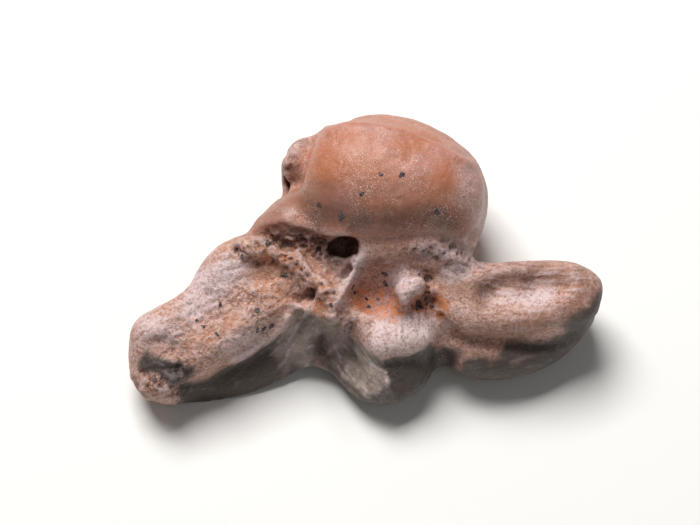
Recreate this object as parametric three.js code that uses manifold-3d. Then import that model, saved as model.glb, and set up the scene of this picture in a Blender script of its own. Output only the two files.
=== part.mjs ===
// Left periotic (ear bone) of a fossil dolphin, life size, lying on its dorsal side.
// One solid bone: cochlear dome, body, anterior process, posterior process and lateral tuberosity.
// It is drawn in the tympanic view (X anterior, Y medial, Z towards the viewer),
// then tilted to lie at rest.

import * as THREE from 'three';
import { mergeVertices } from 'three/addons/utils/BufferGeometryUtils.js';
import Module from 'manifold-3d';

const wasm = await Module();
wasm.setup();

const UP = new THREE.Vector3(0, 1, 0);

// Driving dimensions, in millimetres and degrees.
const LENGTH = 36; // tip of the anterior process to tip of the posterior process
const REST_TILT = 25; // the medial side lies this much higher than the lateral side
const FLOOR = -7.75; // level of the ground under the origin of the drawing, once tilted
const BLANK_DETAIL = 22; // edge divisions of the blank that is wrapped onto the bone
const BLANK_REACH = 26; // radius from which the blank is wrapped inwards
const BLANK_STRETCH = 1.8; // how much more of the blank goes to the two processes
const WRAP_ROUNDS = 60;
const WRAP_CENTRE = new THREE.Vector3(0.2, 0.3, -3.0);
const RIM_BLEND = 1.6; // rounding of the bone towards its outline
const RIM_SPARE = 0.15; // what that rounding takes off the outline

// The outline in the tympanic view, anticlockwise from the tip of the anterior process.
const OUTLINE = [
  [18.0, 0.5], [17.0, 1.7], [15.4, 2.15], [11.2, 2.35], [9.3, 2.1], [8.1, 2.0],
  [8.8, 3.8], [9.4, 6.4], [9.3, 8.0], [8.1, 10.3], [5.6, 12.1], [3.4, 13.0], [0.5, 13.35],
  [-1.9, 12.75], [-3.5, 12.5], [-5.0, 11.5], [-6.2, 10.2], [-6.3, 8.6], [-6.5, 7.6], [-7.9, 5.4],
  [-9.0, 3.85], [-10.5, 3.65], [-11.9, 2.4], [-13.1, 0.3], [-14.3, -0.8], [-16.4, -1.9],
  [-17.7, -3.3], [-18.0, -5.2], [-17.7, -6.9], [-16.3, -8.2], [-14.3, -8.75], [-12.4, -8.7],
  [-9.4, -8.15], [-6.3, -7.05], [-4.5, -6.15], [-3.4, -6.3], [-2.0, -7.35], [-0.4, -8.4], [1.0, -8.8],
  [3.5, -8.2], [5.0, -7.25], [5.7, -6.5], [6.6, -6.45], [8.2, -6.9], [10.0, -7.05], [12.2, -6.6],
  [14.5, -5.55], [16.3, -3.9], [17.3, -2.2], [17.8, -0.6],
];

// A rotated superellipsoid. `turn` is degrees about X, Y and Z, and `square` above 2 makes it boxier.
class Lobe {
  constructor(name, centre, radii, { turn = [0, 0, 0], blend = 1.5, square = 2 } = {}) {
    this.name = name;
    this.centre = centre;
    this.radii = radii;
    this.blend = blend;
    this.square = square;
    const angles = turn.map(THREE.MathUtils.degToRad);
    const turned = new THREE.Matrix4().makeRotationFromEuler(new THREE.Euler(...angles));
    this.axes = turned.elements; // its columns are the lobe's own axes
  }

  // About how far the point lies outside the lobe.
  distance(point) {
    const m = this.axes;
    const dx = point.x - this.centre[0];
    const dy = point.y - this.centre[1];
    const dz = point.z - this.centre[2];
    const [a, b, c] = this.radii;
    const x = Math.abs(m[0] * dx + m[1] * dy + m[2] * dz) / a;
    const y = Math.abs(m[4] * dx + m[5] * dy + m[6] * dz) / b;
    const z = Math.abs(m[8] * dx + m[9] * dy + m[10] * dz) / c;
    const n = this.square;
    if (n === 2) {
      const size = Math.max(Math.hypot(x, y, z), 1e-6);
      return (size * (size - 1)) / Math.max(Math.hypot(x / a, y / b, z / c), 1e-6);
    }
    const [px, py, pz] = [x ** (n - 1), y ** (n - 1), z ** (n - 1)];
    const sum = Math.max(x * px + y * py + z * pz, 1e-9);
    const size = sum ** (1 / n);
    const slope = (Math.hypot(px / a, py / b, pz / c) * size) / sum;
    return (size - 1) / Math.max(slope, 1e-6);
  }
}

// A ridge, or a groove where height is below 0, along a line drawn in the tympanic view.
// It marks the side that faces the viewer, and fades out from `from` to `full` in depth.
class Stroke {
  constructor(name, points, width, height, { from = -3.5, full = -1.5 } = {}) {
    Object.assign(this, { name, points, width, height, from, full });
  }

  rise(point) {
    const facing = THREE.MathUtils.smoothstep(point.z, this.from, this.full);
    if (facing === 0) return 0;
    let nearest = Infinity;
    for (let i = 1; i < this.points.length; i++) {
      const [ax, ay] = this.points[i - 1];
      const ex = this.points[i][0] - ax;
      const ey = this.points[i][1] - ay;
      const along = ((point.x - ax) * ex + (point.y - ay) * ey) / (ex * ex + ey * ey);
      const t = Math.min(Math.max(along, 0), 1);
      nearest = Math.min(nearest, (point.x - ax - t * ex) ** 2 + (point.y - ay - t * ey) ** 2);
    }
    return facing * this.height * Math.exp(-nearest / this.width ** 2);
  }
}

const LOBES = [
  // cochlear dome
  new Lobe(
    'dome cap', [2.4, 7.8, -1.7], [7.1, 4.9, 5.9],
    { turn: [10, 0, -12], blend: 1.0, square: 2.3 },
  ),
  new Lobe(
    'dome shoulder', [-1.1, 8.6, -1.9], [3.7, 4.2, 5.0],
    { turn: [0, 0, 12], blend: 2.0, square: 2.2 },
  ),
  new Lobe('dome back', [2.3, 7.2, -4.7], [8.2, 7.0, 6.4], { turn: [14, 0, -14], blend: 0.3 }),
  new Lobe('round window lip', [-5.2, 10.0, -3.6], [1.8, 3.3, 2.8], { turn: [0, 0, -22], blend: 0.3 }),
  new Lobe('dome foot', [-5.0, 6.0, -2.6], [5.0, 2.2, 3.2], { turn: [0, 0, 50], blend: 1.0 }),
  // body
  new Lobe('body', [0.3, -0.6, -3.2], [9.6, 6.2, 3.8], { blend: 1.5 }),
  new Lobe('fossa roof', [3.6, 2.7, -1.1], [5.4, 1.5, 2.2], { turn: [0, 0, -6], blend: 0.7 }),
  // posterior process
  new Lobe('posterior wall', [-10.0, -4.4, -3.8], [7.8, 4.5, 2.2], { turn: [0, 0, 19], blend: 0.4 }),
  new Lobe(
    'posterior facet', [-11.3, -0.9, -1.8], [7.3, 3.9, 2.3],
    { turn: [-10, 0, 36], blend: 0.4, square: 4 },
  ),
  new Lobe(
    'posterior shoulder', [-8.6, 1.0, -2.2], [4.0, 3.6, 2.6],
    { turn: [-8, 0, 30], blend: 0.8, square: 3 },
  ),
  new Lobe('posterior tip', [-15.0, -5.5, -2.6], [3.5, 4.1, 2.7], { blend: 0.8 }),
  // lateral tuberosity
  new Lobe(
    'lateral tuberosity', [1.4, -5.6, -2.7], [3.9, 3.8, 2.5],
    { turn: [-12, 0, -8], blend: 0.9, square: 2.2 },
  ),
  new Lobe(
    'tuberosity brow', [2.7, -3.9, -1.6], [2.9, 1.9, 2.6],
    { turn: [-30, 0, 8], blend: 0.5, square: 3.6 },
  ),
  // anterior process
  new Lobe(
    'anterior process', [11.2, -0.5, -1.4], [7.9, 3.0, 2.4],
    { turn: [-8, 0, 5], blend: 0.6, square: 2.6 },
  ),
  new Lobe('anterior keel', [11.8, -2.8, -3.6], [7.0, 4.3, 3.1], { turn: [0, 9, 15], blend: 1.2 }),
];

const HOLLOWS = [
  new Lobe('stapedial fossa', [-4.9, 3.3, 0.4], [3.5, 0.95, 2.2], { turn: [0, 0, -13], blend: 0.4 }),
  new Lobe('window funnel', [-2.1, 2.9, 0.9], [1.7, 1.1, 2.3], { blend: 0.5 }),
  new Lobe('malleus fossa', [0.7, -0.3, 0.9], [2.0, 2.0, 1.7], { blend: 0.6 }),
  new Lobe('incus fossa', [-4.5, -0.3, 0.6], [1.3, 0.75, 1.9], { blend: 0.4 }),
  new Lobe('anterior fossa', [11.9, -0.1, 2.3], [4.9, 1.35, 1.9], { turn: [0, 0, 7], blend: 0.9 }),
  new Lobe('tuberosity flank', [-2.4, -6.2, 0.4], [2.9, 3.4, 2.9], { turn: [0, 0, 25], blend: 0.7 }),
  new Lobe('keel pit', [6.0, -5.2, 0.1], [0.8, 1.2, 2.4], { blend: 0.7 }),
];

const STROKES = [
  new Stroke(
    'posterior rim', [[-9.0, 3.4], [-6.9, 3.0], [-5.0, 2.3], [-3.6, 1.0], [-2.4, -0.2]], 0.75, 0.7,
  ),
  new Stroke('facet basin', [[-8.5, 0.6], [-10.9, -1.2]], 1.9, -0.5),
  new Stroke('crista', [[-0.4, 2.5], [-1.0, 1.2], [-1.7, 0.1], [-2.4, -1.1], [-2.6, -2.2]], 0.6, 0.6),
  new Stroke('foot ledge', [[-7.9, 4.9], [-5.0, 4.8], [-2.8, 4.5], [-1.2, 4.3]], 0.6, 0.4),
  new Stroke(
    'lip groove', [[-3.9, 12.0], [-4.7, 10.0], [-5.1, 8.4], [-5.9, 7.4]], 0.6, -0.7,
    { from: -5, full: -3 },
  ),
  new Stroke(
    'dome crest', [[-2.0, 12.3], [1.1, 12.2], [3.5, 11.8], [5.8, 10.8], [8.0, 9.4]], 0.6, 0.35,
    { from: -5, full: -3 },
  ),
  new Stroke('knob', [[3.5, 0.4], [3.7, -0.2]], 0.9, 0.8),
  new Stroke('knob pit', [[4.6, -0.9], [4.9, -1.1]], 0.7, -0.9),
  new Stroke('tuberosity suture', [[5.1, -1.7], [6.0, -2.8], [6.3, -4.0]], 0.7, -0.7),
  new Stroke('tuberosity notch', [[-2.0, -2.6], [-1.3, -3.0]], 0.7, -0.9),
  new Stroke(
    'keel groove', [[6.6, -3.7], [10.0, -4.1], [13.0, -4.3]], 0.6, -0.4,
    { from: -4.5, full: -3 },
  ),
];

function smoothMin(a, b, k) {
  const h = Math.max(k - Math.abs(a - b), 0) / k;
  return Math.min(a, b) - h * h * k * 0.25;
}

function smoothMax(a, b, k) {
  return -smoothMin(-a, -b, k);
}

// The outline as a signed distance, worked out once on a grid.
class OutlineField {
  constructor(points, step = 0.25, margin = 10) {
    const corners = points.map(([x, y]) => new THREE.Vector3(x, y, 0));
    this.line = new THREE.CatmullRomCurve3(corners, true, 'centripetal').getPoints(points.length * 5);
    const box = new THREE.Box3().setFromPoints(this.line).expandByScalar(margin);
    this.step = step;
    this.low = box.min;
    this.columns = Math.ceil((box.max.x - box.min.x) / step) + 1;
    this.rows = Math.ceil((box.max.y - box.min.y) / step) + 1;
    this.values = new Float64Array(this.columns * this.rows);
    for (let j = 0; j < this.rows; j++) {
      for (let i = 0; i < this.columns; i++) {
        this.values[j * this.columns + i] = this.measure(this.low.x + i * step, this.low.y + j * step);
      }
    }
  }

  measure(x, y) {
    let nearest = Infinity;
    let inside = false;
    for (let i = 0, j = this.line.length - 1; i < this.line.length; j = i++) {
      const a = this.line[j];
      const b = this.line[i];
      const ex = b.x - a.x;
      const ey = b.y - a.y;
      const along = ((x - a.x) * ex + (y - a.y) * ey) / (ex * ex + ey * ey + 1e-12);
      const t = Math.min(Math.max(along, 0), 1);
      nearest = Math.min(nearest, Math.hypot(x - a.x - t * ex, y - a.y - t * ey));
      if ((a.y > y) !== (b.y > y) && x < ((b.x - a.x) * (y - a.y)) / (b.y - a.y) + a.x) inside = !inside;
    }
    return inside ? -nearest : nearest;
  }

  distance(x, y) {
    const u = THREE.MathUtils.clamp((x - this.low.x) / this.step, 0, this.columns - 1.001);
    const v = THREE.MathUtils.clamp((y - this.low.y) / this.step, 0, this.rows - 1.001);
    const i = Math.floor(u);
    const j = Math.floor(v);
    const at = (m, n) => this.values[n * this.columns + m];
    const low = THREE.MathUtils.lerp(at(i, j), at(i + 1, j), u - i);
    const high = THREE.MathUtils.lerp(at(i, j + 1), at(i + 1, j + 1), u - i);
    return THREE.MathUtils.lerp(low, high, v - j);
  }
}

const outline = new OutlineField(OUTLINE);

// Distance to the bone's surface, negative inside.
function bone(point) {
  let d = Infinity;
  for (const lobe of LOBES) d = smoothMin(d, lobe.distance(point), lobe.blend);
  d = smoothMax(d, outline.distance(point.x, point.y) - RIM_SPARE, RIM_BLEND);
  for (const hollow of HOLLOWS) d = smoothMax(d, -hollow.distance(point), hollow.blend);
  for (const stroke of STROKES) d -= stroke.rise(point);
  return d;
}

const TETRAHEDRON = [[1, -1, -1], [-1, -1, 1], [-1, 1, -1], [1, 1, 1]];
const PROBE_STEP = 0.05;
const probe = new THREE.Vector3();

// The field's value and slope at a point, from four nearby samples.
function sample(point) {
  const slope = new THREE.Vector3();
  let value = 0;
  for (const [x, y, z] of TETRAHEDRON) {
    probe.set(point.x + x * PROBE_STEP, point.y + y * PROBE_STEP, point.z + z * PROBE_STEP);
    const d = bone(probe);
    value += d / 4;
    slope.x += x * d;
    slope.y += y * d;
    slope.z += z * d;
  }
  return { value, slope: slope.divideScalar(4 * PROBE_STEP) };
}

// Where a ray from outside towards the wrap centre first meets the bone.
function castInwards(direction) {
  const point = new THREE.Vector3();
  let reach = BLANK_REACH;
  let gap = Infinity;
  while (gap > 0.02 && reach > 0.5) {
    point.copy(WRAP_CENTRE).addScaledVector(direction, reach);
    gap = bone(point);
    reach -= gap * 0.7;
  }
  return point;
}

function neighboursOf(geometry) {
  const rings = Array.from({ length: geometry.attributes.position.count }, () => new Set());
  const index = geometry.index.array;
  for (let t = 0; t < index.length; t += 3) {
    for (let k = 0; k < 3; k++) {
      rings[index[t + k]].add(index[t + ((k + 1) % 3)]);
      rings[index[t + k]].add(index[t + ((k + 2) % 3)]);
    }
  }
  return rings.map((ring) => [...ring]);
}

function bare(geometry) {
  geometry.deleteAttribute('normal');
  geometry.deleteAttribute('uv');
  return mergeVertices(geometry);
}

// A ball cast onto the bone, whose points then slide apart evenly along its surface.
function wrapBlank() {
  const geometry = bare(new THREE.IcosahedronGeometry(1, BLANK_DETAIL));
  const position = geometry.attributes.position;
  const points = [];
  for (let i = 0; i < position.count; i++) {
    const direction = new THREE.Vector3().fromBufferAttribute(position, i);
    direction.x *= BLANK_STRETCH;
    points.push(castInwards(direction.normalize()));
  }
  const rings = neighboursOf(geometry);
  for (let round = 0; round < WRAP_ROUNDS; round++) {
    const slides = points.map((point, i) => {
      const mean = new THREE.Vector3();
      for (const j of rings[i]) mean.add(points[j]);
      return mean.divideScalar(rings[i].length).sub(point);
    });
    points.forEach((point, i) => {
      const { value, slope } = sample(point);
      const steep = Math.max(slope.length(), 0.3);
      const normal = slope.divideScalar(steep);
      const slide = slides[i].addScaledVector(normal, -slides[i].dot(normal));
      point.addScaledVector(slide, 0.5);
      point.addScaledVector(normal, -THREE.MathUtils.clamp(value / steep, -0.6, 0.6));
    });
  }
  points.forEach((point, i) => position.setXYZ(i, point.x, point.y, point.z));
  return geometry;
}

function toSolid(geometry) {
  const plain = geometry.index ? geometry : bare(geometry);
  return new wasm.Manifold(new wasm.Mesh({
    numProp: 3,
    vertProperties: new Float32Array(plain.attributes.position.array),
    triVerts: new Uint32Array(plain.index.array),
  }));
}

function toGeometry(solid) {
  const mesh = solid.getMesh();
  const geometry = new THREE.BufferGeometry();
  geometry.setAttribute('position', new THREE.BufferAttribute(mesh.vertProperties, 3));
  geometry.setIndex(new THREE.BufferAttribute(mesh.triVerts, 1));
  geometry.computeVertexNormals();
  return geometry;
}

// A round opening turned on a lathe: `profile` is [radius, depth] from the mouth inwards,
// `squash` narrows it across, and `aim` is the way that it opens.
function opening(mouth, aim, profile, { squash = 1, roll = 0 } = {}) {
  const lip = [0, profile[0][1]];
  const end = [0, profile.at(-1)[1]];
  const turned = [lip, ...profile, end].map(([radius, depth]) => new THREE.Vector2(radius, -depth));
  const geometry = new THREE.LatheGeometry(turned.reverse(), 18);
  geometry.scale(1, 1, squash);
  geometry.rotateY(THREE.MathUtils.degToRad(roll));
  const outward = new THREE.Vector3(...aim).normalize();
  geometry.applyQuaternion(new THREE.Quaternion().setFromUnitVectors(UP, outward));
  geometry.translate(...mouth);
  return toSolid(bare(geometry));
}

const OPENINGS = [
  // oval window, under the lip of the dome
  opening(
    [-1.55, 3.15, 0.0], [0, -0.18, 1], [[1.3, -2.6], [1.05, 0.2], [0.95, 1.8], [0.5, 2.6]],
    { squash: 0.8 },
  ),
  // round window, on the posterior side of the dome
  opening(
    [-6.2, 7.9, -3.4], [-0.9, 0.1, 0.3], [[0.9, -1.0], [0.75, 0.6], [0.6, 1.8]],
    { squash: 0.75 },
  ),
  // internal acoustic meatus, on the cerebral side, with the facial canal beside it
  opening(
    [2.2, 11.4, -9.3], [0, 0.58, -0.81], [[2.9, -1.5], [2.35, 0.4], [1.9, 2.6], [0.9, 3.4]],
    { squash: 0.75 },
  ),
  opening(
    [4.5, 9.9, -9.6], [0.15, 0.45, -0.85], [[1.3, -1.2], [0.95, 0.8], [0.8, 4.2]],
    { squash: 0.85 },
  ),
  // apertures of the cochlear and vestibular aqueducts
  opening([-3.1, 11.2, -7.6], [-0.4, 0.5, -0.7], [[0.6, -1.0], [0.45, 0.6], [0.35, 1.8]]),
  opening(
    [-3.0, 7.6, -9.2], [-0.25, 0.2, -0.9], [[0.9, -1.0], [0.7, 0.5], [0.5, 1.6]],
    { squash: 0.4, roll: 30 },
  ),
];

// Lies the bone down, trims small flats where it touches the ground, and centres it over the origin.
function layDown(bone) {
  const geometry = toGeometry(bone);
  geometry.computeBoundingBox();
  const { min, max } = geometry.boundingBox;
  const size = LENGTH / (max.x - min.x);
  geometry.translate(-(min.x + max.x) / 2, 0, 0);
  geometry.scale(size, size, size);
  geometry.rotateX(THREE.MathUtils.degToRad(REST_TILT));
  const ground = new THREE.BoxGeometry(2 * LENGTH, 2 * LENGTH, 10);
  ground.translate(0, 0, FLOOR - 5);
  const rested = toGeometry(toSolid(geometry).subtract(toSolid(bare(ground))));
  rested.computeBoundingBox();
  const box = rested.boundingBox;
  rested.translate(0, -(box.min.y + box.max.y) / 2, -box.min.z);
  return rested;
}

const opened = OPENINGS.reduce((bone, hole) => bone.subtract(hole), toSolid(wrapBlank()));

const periotic = new THREE.Mesh(
  layDown(opened),
  new THREE.MeshStandardMaterial({ color: 0xa8765c, roughness: 0.55, metalness: 0 }),
);
periotic.name = 'periotic';

const model = new THREE.Group();
model.add(periotic);
export default model;
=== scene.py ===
"""Left periotic (ear bone) of a fossil dolphin, dressed as a still, life-size museum model.

The frame holds the bone's solid. This script carves the finer relief into a close-meshed skin
of it, marks the skin's zones, gives it the finish of mineralised bone with painted shade and
highlights, and sets mineral grains and crumbs of sediment on it.

Places on the bone are given in the tympanic view, in millimetres: X anterior, Y medial and
Z towards the viewer.
"""

import logging
import math
from dataclasses import dataclass
from enum import Enum

import bmesh
import bpy
import numpy as np
from bpy.types import ID, Material, Mesh, Node, NodeSocket, Object
from mathutils import Matrix, Vector, noise
from mathutils.bvhtree import BVHTree


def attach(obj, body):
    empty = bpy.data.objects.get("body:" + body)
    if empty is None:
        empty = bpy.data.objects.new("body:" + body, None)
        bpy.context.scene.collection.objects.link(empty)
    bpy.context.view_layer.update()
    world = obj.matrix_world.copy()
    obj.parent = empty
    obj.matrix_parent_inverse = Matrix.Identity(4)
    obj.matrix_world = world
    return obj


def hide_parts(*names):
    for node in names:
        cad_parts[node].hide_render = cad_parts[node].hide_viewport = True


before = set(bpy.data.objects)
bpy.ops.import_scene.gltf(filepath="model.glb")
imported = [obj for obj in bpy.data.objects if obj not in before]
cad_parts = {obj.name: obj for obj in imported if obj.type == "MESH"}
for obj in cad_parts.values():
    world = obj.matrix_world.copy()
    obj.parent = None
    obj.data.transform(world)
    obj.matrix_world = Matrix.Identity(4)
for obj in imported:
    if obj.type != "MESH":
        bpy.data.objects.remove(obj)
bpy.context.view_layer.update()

LOG = logging.getLogger("ear_bone")

MM = 0.001  # metres in a millimetre
NODE = "periotic"
BODY = "root"

Corners = tuple[tuple[float, float], ...]  # x and y in the tympanic view, mm

MERGE = 1e-7  # corners of the solid closer than this are one, m
ROUNDING = 2  # subdivision levels that round the solid
FIRST_VOXEL = 0.24  # mesh size for carving the forms, mm
LAST_VOXEL = 0.16  # mesh size of the finished skin, mm
FIRST_SMOOTHING = 6  # rounds of smoothing before the forms are carved
LAST_SMOOTHING = 2  # rounds of it after each later step
HOLLOW_ROUNDS = 70  # how widely a hollow is told from its surroundings
CREASE_ROUNDS = 4  # the same for a crease

TILT = math.radians(25.0)  # the tympanic view leans this far from level
VIEW_ORIGIN = (0.0, -3.903, 7.75)  # the view's origin in the row frame, mm
VIEW_RIGHT = Vector((1.0, 0.0, 0.0))
VIEW_UP = Vector((0.0, math.cos(TILT), math.sin(TILT)))
VIEW_AXIS = Vector((0.0, -math.sin(TILT), math.cos(TILT)))

# How irregular patterns are made.
OCTAVE_FALL = 0.7  # how fast a pattern's finer layers weaken
OCTAVE_STEP = 2.0  # how much finer each layer is
SEED_STEPS = (7.3, -3.1, 5.7)  # how far one seed moves a pattern, in its own widths

# Where marks show: gone at the first number, full at the second.
MARK_FACING = (-0.35, 0.15)  # by how much the surface faces the viewer
MARK_BESIDE = (0.6, 0.15)  # by how far a point lies past a step's ends, mm
VIEWER_PULL = 0.5  # how far a mark's own direction leans towards the viewer

# By how much a surface faces the viewer: none of it at the first number, all at the second.
FACING = (0.1, 0.6)
# Painted shade, where the surface turns away from the viewer.
SHADE_ASIDE = (0.35, -0.25)
BELOW = (0.3, -0.4)

# Cross-sections of the marks, as shares of their width or reach.
MARK_TAPER = 2.0  # how far a wall or a ledge fades towards its ends, in widths
WALL_START = -0.1  # where a wall begins to fall, in widths past its edge
WALL_END = 2.5  # where its foot has come up again, in reaches
LEDGE_RISE = 0.5  # how far before and behind its edge a ledge rises, in widths
LEDGE_LEAN = 0.4  # where it leans out the most, in widths behind the edge

# The painted shade on the face below a wall's edge, mm.
FACE_START = (0.1, 0.4)
FACE_END = (4.6, 3.2)
FACE_TAPER = 0.6
FACE_WANDER = 0.2

# One round of smoothing shrinks the surface and then grows it again.
SHRINK = 0.5
GROW = -0.52


class TympanicView:
    """Turns places between the row frame, in metres, and the tympanic view, in millimetres."""

    axes = np.array((VIEW_RIGHT, VIEW_UP, VIEW_AXIS))
    origin = np.array(VIEW_ORIGIN)

    @classmethod
    def seen(cls, places: np.ndarray) -> np.ndarray:
        """Gives places of the row frame as they are in the view.

        Args:
            places: rows of x, y and z in the row frame, in metres.

        Returns:
            Rows of x, y and z in the view, in millimetres.
        """
        return (places / MM - cls.origin) @ cls.axes.T

    @classmethod
    def placed(cls, points: np.ndarray) -> np.ndarray:
        """Gives points of the view as places in the row frame.

        Args:
            points: rows of x, y and z in the view, in millimetres.

        Returns:
            Rows of x, y and z in the row frame, in metres.
        """
        return (points @ cls.axes + cls.origin) * MM


def linked(name: str, data: ID) -> Object:
    """Makes an object of the data and puts it into the scene."""
    made = bpy.data.objects.new(name, data)
    bpy.context.scene.collection.objects.link(made)
    return made


def settled(name: str, build: bmesh.types.BMesh) -> Mesh:
    """Turns a mesh in the making into a finished one."""
    mesh = bpy.data.meshes.new(name)
    build.to_mesh(mesh)
    build.free()
    return mesh


def fade(values: np.ndarray, low: float, high: float) -> np.ndarray:
    """Rises smoothly from 0 to 1 between two limits.

    Args:
        values: what is compared with the limits.
        low: where the result is 0.
        high: where the result is 1; it may be below low.

    Returns:
        The smooth steps, one for each value.
    """
    t = np.clip((values - low) / (high - low), 0.0, 1.0)
    return t * t * (3.0 - 2.0 * t)


def cloud(points: np.ndarray, size: float, octaves: int = 3, seed: float = 0.0,
          basis: str = "PERLIN_ORIGINAL") -> np.ndarray:
    """Reads an irregular pattern at each point.

    Args:
        points: rows of x, y and z, in millimetres.
        size: width of the pattern's largest patches, in millimetres.
        octaves: how many finer layers it has.
        seed: moves the pattern, so that two patterns of one size differ.
        basis: the kind of pattern, soft or in cells.

    Returns:
        Values of about -1 to 1.
    """
    shift = Vector([seed * step for step in SEED_STEPS])
    places = (Vector(row) + shift for row in (points / size).tolist())
    return np.array([noise.fractal(place, OCTAVE_FALL, OCTAVE_STEP, octaves, noise_basis=basis)
                     for place in places])


class Line:
    """A line drawn in the tympanic view, with the distances of a set of points from it."""

    def __init__(self, corners: Corners, points: np.ndarray) -> None:
        """Measures the points.

        Args:
            corners: x and y of the line's corners.
            points: rows of x, y and z in the view.
        """
        plan = points[:, :2]
        nodes = np.array(corners, dtype=float)
        self.away = np.full(len(plan), np.inf)
        self.side = np.zeros(len(plan))
        self.along = np.zeros(len(plan))
        self.out = np.zeros((len(plan), 2))
        walked = 0.0
        for start, end in zip(nodes[:-1], nodes[1:]):
            run = end - start
            length = float(np.hypot(*run))
            part = np.clip(((plan - start) @ run) / length**2, 0.0, 1.0)
            gap = plan - start - part[:, None] * run
            away = np.hypot(gap[:, 0], gap[:, 1])
            nearer = away < self.away
            left = np.array((-run[1], run[0])) / length
            self.away[nearer] = away[nearer]
            self.side[nearer] = (gap @ left)[nearer]
            self.along[nearer] = walked + part[nearer] * length
            self.out[nearer] = left
            walked += length
        self.length = walked

    def taper(self, reach: float) -> np.ndarray:
        """Falls to 0 over `reach` at both ends of the line."""
        ends = np.minimum(self.along, self.length - self.along)
        return fade(ends, 0.0, reach)

    def beside(self) -> np.ndarray:
        """Is 1 for the points straight beside the line and falls to 0 past its ends."""
        return fade(self.away - np.abs(self.side), *MARK_BESIDE)


class Form(Enum):
    """How a mark changes the surface along its line."""

    SWELL = "swell"  # a soft ridge, or a groove where the height is below 0
    PLATEAU = "plateau"  # the same with a flat top and steep sides
    LEDGE = "ledge"  # the left side of the line stands higher than the right side
    WALL = "wall"  # the right side of the line falls away steeply


# The power that shapes a swell's or a plateau's sides.
STEEPNESS = {Form.SWELL: 2, Form.PLATEAU: 4}


@dataclass(frozen=True)
class Mark:
    """One mark carved into the bone.

    Attributes:
        name: what the mark is.
        line: its corners in the tympanic view, in millimetres.
        width: half its width.
        height: how far it stands out, or below 0 how deep it goes.
        form: its cross-section.
        reach: how far behind a ledge's edge the raised side falls back, or how far a wall goes.
        lean: how far a ledge's edge hangs over the lower side.
        depths: the mark is full above the second depth and gone below the first.
    """

    name: str
    line: Corners
    width: float
    height: float
    form: Form = Form.SWELL
    reach: float = 1.2
    lean: float = 0.0
    depths: tuple[float, float] = (-5.5, -4.0)

    def moves(self, points: np.ndarray, normals: np.ndarray) -> np.ndarray:
        """Works out how the mark moves each point.

        Args:
            points: rows of x, y and z in the view.
            normals: the surface's outward directions there.

        Returns:
            Rows of the moves in x, y and z.
        """
        line = Line(self.line, points)
        shown = fade(points[:, 2], *self.depths) * fade(normals[:, 2], *MARK_FACING)
        outward = normals + (0.0, 0.0, VIEWER_PULL)
        outward /= np.linalg.norm(outward, axis=1)[:, None]
        if self.form in STEEPNESS:
            rise = np.exp(-((line.away / self.width) ** STEEPNESS[self.form]))
            return outward * (self.height * rise * shown)[:, None]
        shown = shown * line.taper(MARK_TAPER * self.width) * line.beside()
        if self.form is Form.WALL:
            past = -line.side
            drop = fade(past, WALL_START * self.width, self.width)
            drop *= fade(past, WALL_END * self.reach, self.reach)
            return np.array((0.0, 0.0, -self.height)) * (drop * shown)[:, None]
        behind = np.maximum(line.side, 0.0)
        step = fade(line.side, -LEDGE_RISE * self.width, LEDGE_RISE * self.width)
        rise = self.height * step * np.exp(-((behind / self.reach) ** 2))
        edge = np.exp(-(((line.side - LEDGE_LEAN * self.width) / self.width) ** 2))
        moves = outward * (rise * shown)[:, None]
        moves[:, :2] -= line.out * (self.lean * edge * shown)[:, None]
        return moves

    def face(self, points: np.ndarray, wander: np.ndarray) -> np.ndarray:
        """Tells how much each point belongs to the painted shade on the face below a wall's edge, from 0 to
        1.
        """
        line = Line(self.line, points)
        past = -line.side + FACE_WANDER * wander
        return fade(past, *FACE_START) * fade(past, *FACE_END) * line.beside() * line.taper(FACE_TAPER)


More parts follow.
